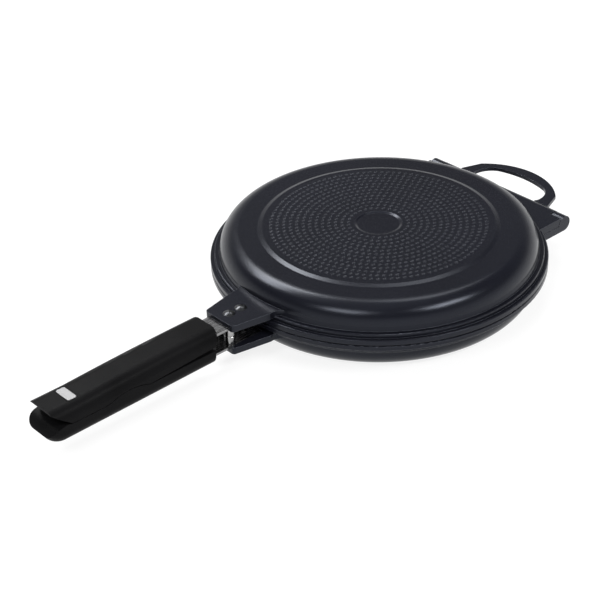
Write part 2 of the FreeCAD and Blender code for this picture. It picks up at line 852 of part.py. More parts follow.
def tang_pocket(body, name, side):
    """The pocket in a grip that takes the tang and its liner."""
    high = TANG_OUTER_RISE + S.tang_pocket_clearance
    rear = -POCKET_END
    front = -(GRIP_FRONT - S.grip_front_lean - S.cut_overrun)
    layer(body, name, side, S.seam_half - S.cut_overrun, high,
          draw_band(rear, front, S.tang_half + S.tang_side_clearance), cut=True)


def make_upper_grip():
    """The upper grip, with the thin lip at its rear and the scoop in its parting edge."""
    seam = level(UPPER, S.seam_half)
    top = level(UPPER, S.grip_rear_rise)
    crown_start = GRIP_FRONT - S.grip_front_lean
    crown_end = GRIP_REAR - S.grip_level_length
    crown_arc = arc_radius(crown_end - crown_start, S.grip_front_swell)
    body = grip_body("upper_grip", [
        (-GRIP_FRONT, level(UPPER, S.grip_mouth_rise)),
        (-crown_start, level(UPPER, S.grip_rear_rise + S.grip_front_swell)),
        (-crown_end, top, crown_arc, 1),
        (-GRIP_REAR, top),
        (-GRIP_REAR, level(UPPER, S.grip_rear_rise - S.grip_lip_thickness)),
        (-GRIP_PARTING_END, seam),
        (-(SCOOP_CENTRE + S.scoop_half), seam),
        (-(SCOOP_CENTRE - S.scoop_half), seam, SCOOP_ARC, -1),
    ])
    fillet(body, "upper_grip_side_round", S.grip_side_round,
           long_outer_edge(UPPER, S.grip_side_round))
    tang_pocket(body, "upper_grip_pocket", UPPER)
    seat = draw_badge(S.badge_clearance)
    layer(body, "upper_grip_badge_seat", UPPER,
          S.grip_rear_rise + S.badge_proud - S.badge_thickness,
          S.grip_rear_rise + S.cut_overrun, seat, cut=True)
    return body


def make_lower_grip():
    """The lower grip, with a hump under the scoop and a rounded nose."""
    seam = level(LOWER, S.seam_half)
    depth = SCOOP_ARC - S.scoop_rise - S.seam_half * 2
    hump = SCOOP_ARC - S.scoop_gap
    foot = level(LOWER, S.lower_grip_front_rise + S.lower_grip_swell)
    hump_half = half_chord(hump, depth)
    body = grip_body("lower_grip", [
        (-GRIP_FRONT, level(LOWER, S.lower_grip_front_rise)),
        (-GRIP_FRONT, seam),
        (-(SCOOP_CENTRE - hump_half), seam),
        (-(SCOOP_CENTRE + hump_half), seam, hump, 1),
        (-GRIP_PARTING_END, seam),
        (-(GRIP_REAR + S.nose_reach), level(LOWER, S.nose_rise), S.nose_back_radius, 1),
        (-(GRIP_REAR - S.nose_foot_setback), foot, S.nose_under_radius, 1),
    ])
    fillet(body, "lower_grip_side_round", S.grip_side_round,
           long_outer_edge(LOWER, S.grip_side_round))
    tang_pocket(body, "lower_grip_pocket", LOWER)
    return body


def make_liner(name, side):
    """The liner that closes a grip's pocket and holds the tang by two bosses."""
    body = new_body(name)
    front = -(GRIP_FRONT + S.liner_front_gap)
    rear = -(POCKET_END - S.liner_clearance)
    half = S.tang_half + S.tang_side_clearance - S.liner_clearance
    inner = S.seam_half + S.liner_thickness
    boss_top = TANG_INNER_RISE - S.tang_pocket_clearance
    head_seat = S.seam_half + S.screw_head_sink + S.screw_head_height
    layer(body, name + "_plate", side, S.seam_half, inner, draw_band(rear, front, half))
    layer(body, name + "_bosses", side, inner, boss_top,
          draw_holes(screw_places(), SCREW_BORE + S.liner_boss_wall))
    layer(body, name + "_shank_holes", side, S.seam_half, boss_top + S.cut_overrun,
          draw_holes(screw_places(), SCREW_BORE), cut=True)
    layer(body, name + "_head_seats", side, S.seam_half - S.cut_overrun, head_seat,
          draw_holes(screw_places(), SCREW_BORE + S.screw_head_overlap), cut=True)
    return body


def make_liner_screws(name, side):
    """Two screws from the liner into the tang, with a round drive hole in each head."""
    body = new_body(name)
    head = S.seam_half + S.screw_head_sink
    seat = head + S.screw_head_height
    head_radius = S.screw_radius + S.screw_head_overlap
    screw = revolve(body, name + "_screw", [
        (ZERO, level(side, head + S.screw_drive_depth)),
        (S.screw_drive_radius, level(side, head + S.screw_drive_depth)),
        (S.screw_drive_radius, level(side, head)),
        (head_radius, level(side, head)),
        (head_radius, level(side, seat)),
        (S.screw_radius, level(side, seat)),
        (S.screw_radius, level(side, TANG_OUTER_RISE)),
        (ZERO, level(side, TANG_OUTER_RISE)),
    ], x=-SCREW_FRONT)
    repeat_backwards(body, screw, S.screw_pitch)


def draw_badge(clearance):
    """Draws the badge plate's rounded outline, grown by a clearance."""
    corner = S.badge_corner_radius + clearance
    low = -(BADGE_CENTRE + S.badge_length / 2 + clearance)
    high = -(BADGE_CENTRE - S.badge_length / 2 - clearance)
    half = S.badge_width / 2 + clearance

    def draw(sketch):
        draw_outline(sketch, [
            (low + corner, -half),
            (high - corner, -half),
            (high, -(half - corner), corner, 1),
            (high, half - corner),
            (high - corner, half, corner, 1),
            (low + corner, half),
            (low, half - corner, corner, 1),
            (low, -(half - corner)),
            (low + corner, -half, corner, 1),
        ][1:])
    return draw


def make_badge():
    body = new_body("badge_plate")
    low = S.grip_rear_rise + S.badge_proud - S.badge_thickness
    layer(body, "badge_plate_blank", UPPER, low, S.grip_rear_rise + S.badge_proud,
          draw_badge(ZERO))
    return body


def build():
    """Builds every sub-part of the pan."""
    make_upper_pan()
    make_lower_pan()
    make_seal()
    make_hinge_hardware()
    for word, side in (("upper", UPPER), ("lower", LOWER)):
        make_tang(word + "_tang", side)
        make_rivets(word + "_rivets", side)
        make_rivet_washers(word + "_rivet_washers", side)
        make_magnets(word + "_magnets", side)
        make_liner(word + "_grip_liner", side)
        make_liner_screws(word + "_liner_screws", side)
    make_upper_grip()
    make_lower_grip()
    make_badge()
    doc.recompute()


def check_and_write():
    """Stops on any failed object or shape, then writes each sub-part to its own file."""
    for item in doc.Objects:
        if "Invalid" in item.State or "Error" in item.State:
            raise RuntimeError(f"{item.Name} failed: {item.State}")
    os.makedirs(NODE_FOLDER, exist_ok=True)
    for body in doc.findObjects("PartDesign::Body"):
        shape = body.Shape
        if shape.isNull() or not shape.isValid():
            raise RuntimeError(f"{body.Label} has no valid shape")
        shape.exportStep(os.path.join(NODE_FOLDER, body.Label + ".step"))
        print(f"{body.Label}: {len(shape.Solids)} solids, {shape.Volume:.1f} mm3")


build()
check_and_write()
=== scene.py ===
"""Looks of the double sided flip pan: finishes, fine details, studio and camera.

Metres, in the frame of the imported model: origin at the centre of the lower pan's base,
handles along -X, hinge and loop along +X, +Z up.
"""

import logging
import math
from dataclasses import dataclass
from enum import Enum
from typing import Iterable, Optional, Sequence

import bmesh
import bpy
from mathutils import Matrix, Vector


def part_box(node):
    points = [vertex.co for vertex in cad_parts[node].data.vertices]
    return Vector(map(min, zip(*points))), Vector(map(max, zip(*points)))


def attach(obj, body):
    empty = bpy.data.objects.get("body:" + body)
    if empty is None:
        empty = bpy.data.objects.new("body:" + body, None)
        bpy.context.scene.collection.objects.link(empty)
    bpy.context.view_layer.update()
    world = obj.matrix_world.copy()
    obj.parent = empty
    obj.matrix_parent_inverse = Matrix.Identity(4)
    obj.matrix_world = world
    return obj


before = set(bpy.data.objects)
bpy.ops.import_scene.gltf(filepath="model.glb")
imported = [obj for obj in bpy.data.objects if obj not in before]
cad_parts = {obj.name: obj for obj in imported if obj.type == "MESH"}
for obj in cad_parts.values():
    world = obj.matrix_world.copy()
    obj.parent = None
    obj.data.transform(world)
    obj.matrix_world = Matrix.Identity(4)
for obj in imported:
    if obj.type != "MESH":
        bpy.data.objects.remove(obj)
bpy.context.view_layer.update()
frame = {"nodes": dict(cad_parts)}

log = logging.getLogger("flip_pan")

Colour = tuple[float, float, float]
Span = tuple[float, float]
MM = 0.001
WHITE: Colour = (1.0, 1.0, 1.0)
EIGHT_BIT = 255
SRGB_KNEE = 0.04045
SRGB_SLOPE = 12.92
SRGB_OFFSET = 0.055
SRGB_POWER = 2.4
MIDDLE_NOISE: Span = (0.35, 0.65)  # the band that holds most values of a noise
WIDE_NOISE: Span = (0.2, 0.8)      # the band that holds nearly all of them
ALL: Span = (0.0, 1.0)


class Half(Enum):
    """The two halves of the pan, by the body that carries them."""

    UPPER = "upper_half"
    LOWER = "lower_half"


class Socket(Enum):
    """Socket kinds of a node group."""

    NUMBER = "NodeSocketFloat"
    VECTOR = "NodeSocketVector"


def linear(red: int, green: int, blue: int) -> Colour:
    """Turns an eight-bit display colour into scene-linear values.

    Args:
        red: Red, 0 to 255.
        green: Green, 0 to 255.
        blue: Blue, 0 to 255.

    Returns:
        The three linear values.
    """
    def one(value: int) -> float:
        share = value / EIGHT_BIT
        if share <= SRGB_KNEE:
            return share / SRGB_SLOPE
        return ((share + SRGB_OFFSET) / (1 + SRGB_OFFSET)) ** SRGB_POWER

    return one(red), one(green), one(blue)


def scaled(colour: Colour, share: float) -> Colour:
    """Brightens or darkens a colour.

    Args:
        colour: The colour.
        share: What each of its values is multiplied by.

    Returns:
        The new colour.
    """
    red, green, blue = colour
    return red * share, green * share, blue * share


class Graph:
    """A thin helper that adds and joins nodes of one tree."""

    MIX_SHARE = 0
    MIX_FIRST = 6
    MIX_SECOND = 7
    MIX_COLOUR = 2

    def __init__(self, tree: bpy.types.NodeTree) -> None:
        """Keeps the tree and clears it."""
        self.tree = tree
        tree.nodes.clear()

    def add(self, kind: str, **settings: object) -> bpy.types.Node:
        """Adds a node and sets its properties.

        Args:
            kind: Blender's type name of the node.
            **settings: Property values of the node.

        Returns:
            The new node.
        """
        node = self.tree.nodes.new(kind)
        for name, value in settings.items():
            setattr(node, name, value)
        return node

    def feed(self, node: bpy.types.Node, socket: "str | int", source: object) -> None:
        """Links an output into a socket, or sets the socket's own value.

        Args:
            node: The node that takes the input.
            socket: The input's name or number.
            source: An output socket, or a plain value.
        """
        target = node.inputs[socket]
        if isinstance(source, bpy.types.NodeSocket):
            self.tree.links.new(source, target)
        elif hasattr(source, "__len__") and target.type == "RGBA" and len(source) == 3:
            target.default_value = (*source, 1.0)
        else:
            target.default_value = source

    def math(self, operation: str, *values: object, clamp: bool = False) -> bpy.types.NodeSocket:
        """Adds a Math node.

        Args:
            operation: The operation's name.
            *values: Outputs or numbers for its inputs.
            clamp: Whether the result is held to 0..1.

        Returns:
            The node's output.
        """
        node = self.add("ShaderNodeMath", operation=operation, use_clamp=clamp)
        for index, value in enumerate(values):
            self.feed(node, index, value)
        return node.outputs[0]

    def noise(self, vector: bpy.types.NodeSocket, scale: float, detail: float,
              roughness: float) -> bpy.types.NodeSocket:
        """Adds a Noise Texture.

        Args:
            vector: Where it is read.
            scale: Its scale.
            detail: Its octaves.
            roughness: The weight of the finer octaves.

        Returns:
            The noise value, about 0.5 on average.
        """
        node = self.add("ShaderNodeTexNoise")
        self.feed(node, "Vector", vector)
        self.feed(node, "Scale", scale)
        self.feed(node, "Detail", detail)
        self.feed(node, "Roughness", roughness)
        return node.outputs["Fac"]

    def stretch(self, vector: bpy.types.NodeSocket,
                scale: Sequence[float]) -> bpy.types.NodeSocket:
        """Scales a vector.

        Args:
            vector: The vector.
            scale: Its scale on each axis.

        Returns:
            The scaled vector.
        """
        node = self.add("ShaderNodeMapping")
        self.feed(node, "Vector", vector)
        self.feed(node, "Scale", scale)
        return node.outputs[0]

    def remap(self, value: bpy.types.NodeSocket, read: Span,
              given: Span = ALL) -> bpy.types.NodeSocket:
        """Maps a range of a value onto another, clamped.

        Args:
            value: The value.
            read: Start and end of the range read.
            given: The results at its start and end.

        Returns:
            The mapped value.
        """
        node = self.add("ShaderNodeMapRange")
        for index, item in enumerate((value, *read, *given)):
            self.feed(node, index, item)
        return node.outputs[0]

    def blend(self, share: object, first: object, second: object) -> bpy.types.NodeSocket:
        """Mixes two colours.

        Args:
            share: How much of the second colour.
            first: The first colour.
            second: The second colour.

        Returns:
            The mixed colour.
        """
        node = self.add("ShaderNodeMix", data_type="RGBA")
        self.feed(node, self.MIX_SHARE, share)
        self.feed(node, self.MIX_FIRST, first)
        self.feed(node, self.MIX_SECOND, second)
        return node.outputs[self.MIX_COLOUR]

    def bump(self, height: bpy.types.NodeSocket, depth: float,
             normal: Optional[bpy.types.NodeSocket] = None) -> bpy.types.NodeSocket:
        """Adds a Bump node.

        Args:
            height: The height, 0 to 1.
            depth: The depth of a height of 1, in metres.
            normal: The normal that it starts from.

        Returns:
            The bumped normal.
        """
        node = self.add("ShaderNodeBump")
        self.feed(node, "Height", height)
        self.feed(node, "Distance", depth)
        self.feed(node, "Strength", 1.0)
        if normal is not None:
            self.feed(node, "Normal", normal)
        return node.outputs[0]


def new_group(name: str, inputs: Iterable[tuple[str, Socket]],
              outputs: Iterable[tuple[str, Socket]],
              ) -> tuple[Graph, bpy.types.Node, bpy.types.Node]:
    """Starts a shader node group.

    Args:
        name: The group's name.
        inputs: Name and kind of each input.
        outputs: Name and kind of each output.

    Returns:
        The group's graph, its input node and its output node.
    """
    tree = bpy.data.node_groups.new(name, "ShaderNodeTree")
    for label, kind in inputs:
        tree.interface.new_socket(label, in_out="INPUT", socket_type=kind.value)
    for label, kind in outputs:
        tree.interface.new_socket(label, in_out="OUTPUT", socket_type=kind.value)
    graph = Graph(tree)
    return graph, graph.add("NodeGroupInput"), graph.add("NodeGroupOutput")


class SharedEffects:
    """Node groups that more than one finish uses, each built once."""

    GRAIN_DETAIL = 2.0
    DRIFT_DETAIL = 4.0
    BEVEL_SAMPLES = 4
    BEND: Span = (0.995, 0.8)      # agreement of the two normals, from flat to edge
    PATCH_SCALE = 160.0
    PATCH_DETAIL = 4.0
    PATCH_SHARE: Span = (0.75, 1.0)
    FINE_LINES = 900.0
    BROAD_LINES = 120.0
    LINE_DETAIL = 3.0
    OCTAVE_WEIGHT = 0.6

    def __init__(self) -> None:
        """Builds the groups."""
        self.grain = self._grain()
        self.edge_wear_and_highlight = self._worn_and_lit_edges()
        self.brushing = self._brushing()

    def _grain(self) -> bpy.types.NodeTree:
        """Fine moulded or sprayed grain: a height, and a slow drift of tone."""
        graph, start, end = new_group(
            "fine_grain",
            [("Vector", Socket.VECTOR), ("Grain scale", Socket.NUMBER),
             ("Drift scale", Socket.NUMBER)],
            [("Height", Socket.NUMBER), ("Drift", Socket.NUMBER)])
        fine = graph.add("ShaderNodeTexNoise")
        graph.feed(fine, "Vector", start.outputs["Vector"])
        graph.feed(fine, "Scale", start.outputs["Grain scale"])
        graph.feed(fine, "Detail", self.GRAIN_DETAIL)
        drift = graph.add("ShaderNodeTexNoise")
        graph.feed(drift, "Vector", start.outputs["Vector"])
        graph.feed(drift, "Scale", start.outputs["Drift scale"])
        graph.feed(drift, "Detail", self.DRIFT_DETAIL)
        graph.feed(end, "Height", fine.outputs["Fac"])
        graph.feed(end, "Drift", drift.outputs["Fac"])
        return graph.tree

    def _worn_and_lit_edges(self) -> bpy.types.NodeTree:
        """A mask of the outermost edges, broken up by noise: worn edges and a painted edge
        highlight.
        """
        graph, start, end = new_group(
            "edge_wear_and_highlight",
            [("Vector", Socket.VECTOR), ("Width", Socket.NUMBER), ("Amount", Socket.NUMBER)],
            [("Mask", Socket.NUMBER), ("Normal", Socket.VECTOR)])
        rounded = graph.add("ShaderNodeBevel", samples=self.BEVEL_SAMPLES)
        graph.feed(rounded, "Radius", start.outputs["Width"])
        plain = graph.add("ShaderNodeNewGeometry")
        agree = graph.add("ShaderNodeVectorMath", operation="DOT_PRODUCT")
        graph.feed(agree, 0, rounded.outputs[0])
        graph.feed(agree, 1, plain.outputs["Normal"])
        bend = graph.remap(agree.outputs["Value"], self.BEND)
        patches = graph.noise(start.outputs["Vector"], self.PATCH_SCALE, self.PATCH_DETAIL,
                              self.OCTAVE_WEIGHT)
        broken = graph.remap(patches, MIDDLE_NOISE, self.PATCH_SHARE)
        # edges that the finishes paint lighter: partly wear, partly a painted edge highlight
        worn_and_lit = graph.math("MULTIPLY", bend, broken)
        mask = graph.math("MULTIPLY", worn_and_lit, start.outputs["Amount"], clamp=True)
        graph.feed(end, "Mask", mask)
        graph.feed(end, "Normal", rounded.outputs[0])
        return graph.tree

    def _brushing(self) -> bpy.types.NodeTree:
        """Long fine brush lines along one direction."""
        graph, start, end = new_group(
            "brush_lines", [("Vector", Socket.VECTOR)],
            [("Height", Socket.NUMBER), ("Tone", Socket.NUMBER)])
        fine, broad = (graph.noise(start.outputs["Vector"], scale, self.LINE_DETAIL,
                                   self.OCTAVE_WEIGHT)
                       for scale in (self.FINE_LINES, self.BROAD_LINES))
        graph.feed(end, "Height", fine)
        mean = graph.math("MULTIPLY", graph.math("ADD", fine, broad), 0.5)
        graph.feed(end, "Tone", mean)
        return graph.tree


class Finish:
    """A named material, made once and then reused."""

    name: str

    def build(self, effects: SharedEffects) -> bpy.types.Material:
        """Makes the material or hands back the one made before.

        Args:
            effects: The shared node groups.

        Returns:
            The material.
        """
        made = bpy.data.materials.get(self.name)
        if made is not None:
            return made
        material = bpy.data.materials.new(self.name)
        material.use_nodes = True
        graph = Graph(material.node_tree)
        shader = graph.add("ShaderNodeBsdfPrincipled")
        output = graph.add("ShaderNodeOutputMaterial")
        graph.feed(output, "Surface", shader.outputs[0])
        place = graph.add("ShaderNodeTexCoord").outputs["Object"]
        self.shade(graph, shader, place, effects)
        return material

    def shade(self, graph: Graph, shader: bpy.types.Node, place: bpy.types.NodeSocket,
              effects: SharedEffects) -> None:
        """Fills in the material's nodes; each finish has its own.

        Args:
            graph: The material's graph.
            shader: Its shader node.
            place: Where textures are read, in the piece's own metres.
            effects: The shared node groups.
        """
        raise NotImplementedError

    @staticmethod
    def effect(graph: Graph, tree: bpy.types.NodeTree, place: bpy.types.NodeSocket,
               **values: float) -> bpy.types.Node:
        """Places a shared group.

        Args:
            graph: The material's graph.
            tree: The group.
            place: The vector that it reads.
            **values: Values of its other inputs, with _ for a space.

        Returns:
            The group node.
        """
        node = graph.add("ShaderNodeGroup", node_tree=tree)
        graph.feed(node, "Vector", place)
        for name, value in values.items():
            graph.feed(node, name.replace("_", " "), value)
        return node


@dataclass(frozen=True)
class CastCoating(Finish):
    """Satin charcoal coating sprayed on the castings."""

    name: str = "cast_coating"
    colour: Colour = linear(20, 21, 28)
    # lighter edge colour: worn coating and a painted edge highlight
    wear_and_highlight_colour: Colour = linear(132, 135, 144)
    dark_share: float = 0.86
    light_share: float = 1.12
    roughness: float = 0.25
    roughness_swing: float = 0.04
    gloss: float = 0.27
    sheen: Colour = (0.8, 0.86, 1.0)
    grain_scale: float = 2600.0
    drift_scale: float = 9.0
    grain_depth: float = 0.012 * MM
    edge_width: float = 0.5 * MM
    edge_amount: float = 0.5

    def shade(self, graph: Graph, shader: bpy.types.Node, place: bpy.types.NodeSocket,
              effects: SharedEffects) -> None:
        """Sprayed grain, a slow drift of tone and lighter edges, partly worn coating and partly
        a painted edge highlight.
        """
        grain = self.effect(graph, effects.grain, place, Grain_scale=self.grain_scale,
                            Drift_scale=self.drift_scale)
        wear_and_highlight = self.effect(graph, effects.edge_wear_and_highlight, place, Width=self.edge_width,
                           Amount=self.edge_amount)
        drift = graph.remap(grain.outputs["Drift"], MIDDLE_NOISE)
        coat = graph.blend(drift, scaled(self.colour, self.dark_share),
                           scaled(self.colour, self.light_share))
        # edges blend to the lighter colour: wear and a painted edge highlight
        coat = graph.blend(wear_and_highlight.outputs["Mask"], coat, self.wear_and_highlight_colour)
        graph.feed(shader, "Base Color", coat)
        spread = graph.remap(grain.outputs["Height"], WIDE_NOISE,
                             (self.roughness - self.roughness_swing,
                              self.roughness + self.roughness_swing))
        graph.feed(shader, "Roughness", spread)
        graph.feed(shader, "Specular Tint", self.sheen)
        graph.feed(shader, "Specular IOR Level", self.gloss)
        graph.feed(shader, "Normal", graph.bump(grain.outputs["Height"], self.grain_depth,
                                                wear_and_highlight.outputs["Normal"]))


@dataclass(frozen=True)
class BrushedSteel(Finish):
    """Stainless steel with brush lines along the handle."""

    name: str = "brushed_steel"
    colour: Colour = (0.26, 0.26, 0.264)
    # lighter edge colour: wear and a painted edge highlight
    wear_and_highlight_colour: Colour = (0.62, 0.62, 0.62)
    dull_share: float = 0.72
    bright_share: float = 1.2
    roughness: float = 0.24
    smoother: float = 0.08
    rougher: float = 0.1
    lines: tuple[float, float, float] = (0.03, 1.0, 1.0)
    line_depth: float = 0.01 * MM
    edge_width: float = 0.3 * MM
    edge_amount: float = 0.6

    def shade(self, graph: Graph, shader: bpy.types.Node, place: bpy.types.NodeSocket,
              effects: SharedEffects) -> None:
        """Long lines in tone, roughness and height."""
        along = graph.stretch(place, self.lines)
        brush = self.effect(graph, effects.brushing, along)
        wear_and_highlight = self.effect(graph, effects.edge_wear_and_highlight, place, Width=self.edge_width,
                           Amount=self.edge_amount)
        tone = graph.remap(brush.outputs["Tone"], MIDDLE_NOISE)
        steel = graph.blend(tone, scaled(self.colour, self.dull_share),
                            scaled(self.colour, self.bright_share))
        # edges blend to the lighter colour: wear and a painted edge highlight
        steel = graph.blend(wear_and_highlight.outputs["Mask"], steel, self.wear_and_highlight_colour)
        graph.feed(shader, "Base Color", steel)
        spread = graph.remap(brush.outputs["Height"], WIDE_NOISE,
                             (self.roughness - self.smoother, self.roughness + self.rougher))
        graph.feed(shader, "Roughness", spread)
        graph.feed(shader, "Metallic", 1.0)
        graph.feed(shader, "Normal", graph.bump(brush.outputs["Height"], self.line_depth,
                                                wear_and_highlight.outputs["Normal"]))


@dataclass(frozen=True)
class MouldedPlastic(Finish):
    """Near black moulded plastic with a fine matte texture."""

    name: str = "grip_plastic"
    colour: Colour = linear(17, 17, 18)
    # lighter edge colour: polish and a painted edge highlight
    wear_and_highlight_colour: Colour = linear(40, 40, 42)
    dark_share: float = 0.85
    light_share: float = 1.2
    roughness: float = 0.4
    smoother: float = 0.05
    rougher: float = 0.07
    roughness_noise: Span = (0.3, 0.7)
    gloss: float = 0.04
    grain_scale: float = 1500.0
    drift_scale: float = 22.0
    grain_depth: float = 0.04 * MM
    edge_width: float = 0.5 * MM
    edge_amount: float = 0.35

    def shade(self, graph: Graph, shader: bpy.types.Node, place: bpy.types.NodeSocket,
              effects: SharedEffects) -> None:
        """Spark-eroded grain with lighter edges, partly polished and partly a painted edge
        highlight.
        """
        grain = self.effect(graph, effects.grain, place, Grain_scale=self.grain_scale,
                            Drift_scale=self.drift_scale)
        wear_and_highlight = self.effect(graph, effects.edge_wear_and_highlight, place, Width=self.edge_width,
                           Amount=self.edge_amount)
        drift = graph.remap(grain.outputs["Drift"], MIDDLE_NOISE)
        base = graph.blend(drift, scaled(self.colour, self.dark_share),
                           scaled(self.colour, self.light_share))
        # edges blend to the lighter colour: polish and a painted edge highlight
        base = graph.blend(wear_and_highlight.outputs["Mask"], base, self.wear_and_highlight_colour)
        graph.feed(shader, "Base Color", base)
        spread = graph.remap(grain.outputs["Height"], self.roughness_noise,
                             (self.roughness - self.smoother, self.roughness + self.rougher))
        graph.feed(shader, "Roughness", spread)
        graph.feed(shader, "Specular IOR Level", self.gloss)
        graph.feed(shader, "Normal", graph.bump(grain.outputs["Height"], self.grain_depth,
                                                wear_and_highlight.outputs["Normal"]))


@dataclass(frozen=True)
class SealRubber(Finish):
    """Dark silicone of the rim seal, with a dusty bloom."""

    name: str = "seal_silicone"
    colour: Colour = linear(26, 26, 28)
    bloom_colour: Colour = linear(58, 58, 60)
    bloom_noise: Span = (0.45, 0.75)
    bloom_most: float = 0.35
    roughness: float = 0.7
    roughness_swing: float = 0.06
    gloss: float = 0.25
    grain_scale: float = 900.0
    bloom_scale: float = 60.0
    grain_depth: float = 0.03 * MM

    def shade(self, graph: Graph, shader: bpy.types.Node, place: bpy.types.NodeSocket,
              effects: SharedEffects) -> None:
        """Soft mottled bloom over fine grain."""
        grain = self.effect(graph, effects.grain, place, Grain_scale=self.grain_scale,
                            Drift_scale=self.bloom_scale)
        bloom = graph.remap(grain.outputs["Drift"], self.bloom_noise, (0.0, self.bloom_most))
        graph.feed(shader, "Base Color", graph.blend(bloom, self.colour, self.bloom_colour))
        spread = graph.remap(grain.outputs["Height"], WIDE_NOISE,
                             (self.roughness - self.roughness_swing,
                              self.roughness + self.roughness_swing))
        graph.feed(shader, "Roughness", spread)
        graph.feed(shader, "Specular IOR Level", self.gloss)
        graph.feed(shader, "Normal", graph.bump(grain.outputs["Height"], self.grain_depth))


@dataclass(frozen=True)
class PlatedMetal(Finish):
    """Plated metal with faint handling marks, for the magnets and the rivets."""

    name: str = "magnet_plating"
    colour: Colour = (0.36, 0.36, 0.36)
    smudge_share: float = 0.8
    smudge_noise: Span = (0.4, 0.7)
    roughness: float = 0.16
    smudge_roughness: float = 0.14
    grain_scale: float = 1800.0
    smudge_scale: float = 180.0
    grain_depth: float = 0.004 * MM

    def shade(self, graph: Graph, shader: bpy.types.Node, place: bpy.types.NodeSocket,
              effects: SharedEffects) -> None:
        """Smudges in roughness and a faint drift of tone."""
        grain = self.effect(graph, effects.grain, place, Grain_scale=self.grain_scale,
                            Drift_scale=self.smudge_scale)
        smudge = graph.remap(grain.outputs["Drift"], self.smudge_noise)
        dull = scaled(self.colour, self.smudge_share)
        graph.feed(shader, "Base Color", graph.blend(smudge, self.colour, dull))
        spread = graph.remap(smudge, ALL,
                             (self.roughness, self.roughness + self.smudge_roughness))
        graph.feed(shader, "Roughness", spread)
        graph.feed(shader, "Metallic", 1.0)
        graph.feed(shader, "Normal", graph.bump(grain.outputs["Height"], self.grain_depth))


@dataclass(frozen=True)
class SatinAluminium(Finish):
    """Satin aluminium of the badge plate, bare."""

    name: str = "badge_aluminium"
    colour: Colour = (0.31, 0.31, 0.315)
    # lighter edge colour: wear and a painted edge highlight
    wear_and_highlight_colour: Colour = (0.7, 0.7, 0.7)
    dull_share: float = 0.88
    roughness: float = 0.32
    roughness_swing: float = 0.06
    metal: float = 0.35
    lines: tuple[float, float, float] = (1.0, 0.06, 1.0)
    line_depth: float = 0.006 * MM
    edge_width: float = 0.2 * MM
    edge_amount: float = 0.5

    def shade(self, graph: Graph, shader: bpy.types.Node, place: bpy.types.NodeSocket,
              effects: SharedEffects) -> None:
        """Short cross-brushed lines and soft bright edges, partly wear and partly a painted edge
        highlight.
        """
        across = graph.stretch(place, self.lines)
        brush = self.effect(graph, effects.brushing, across)
        wear_and_highlight = self.effect(graph, effects.edge_wear_and_highlight, place, Width=self.edge_width,
                           Amount=self.edge_amount)
        tone = graph.remap(brush.outputs["Tone"], MIDDLE_NOISE)
        satin = graph.blend(tone, scaled(self.colour, self.dull_share), self.colour)
        # edges blend to the lighter colour: wear and a painted edge highlight
        satin = graph.blend(wear_and_highlight.outputs["Mask"], satin, self.wear_and_highlight_colour)
        graph.feed(shader, "Base Color", satin)
        spread = graph.remap(brush.outputs["Height"], WIDE_NOISE,
                             (self.roughness - self.roughness_swing,
                              self.roughness + self.roughness_swing))
        graph.feed(shader, "Roughness", spread)
        graph.feed(shader, "Metallic", self.metal)
        graph.feed(shader, "Normal", graph.bump(brush.outputs["Height"], self.line_depth,
                                                wear_and_highlight.outputs["Normal"]))


def mesh_object(name: str, mesh: bmesh.types.BMesh, material: bpy.types.Material,
                half: Half) -> bpy.types.Object:
    """Turns a mesh into a named piece that rides on one half.

    Args:
        name: The piece's name.
        mesh: Its faces, freed here.
        material: Its finish.
        half: The half that carries it.

    Returns:
        The new object.
    """
    data = bpy.data.meshes.new(name)
    bmesh.ops.recalc_face_normals(mesh, faces=mesh.faces)
    mesh.to_mesh(data)
    mesh.free()
    data.materials.append(material)
    for face in data.polygons:
        face.use_smooth = True
    piece = bpy.data.objects.new(name, data)
    bpy.context.scene.collection.objects.link(piece)
    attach(piece, half.value)
    log.info("%s: %d faces on %s", name, len(data.polygons), half.value)
    return piece


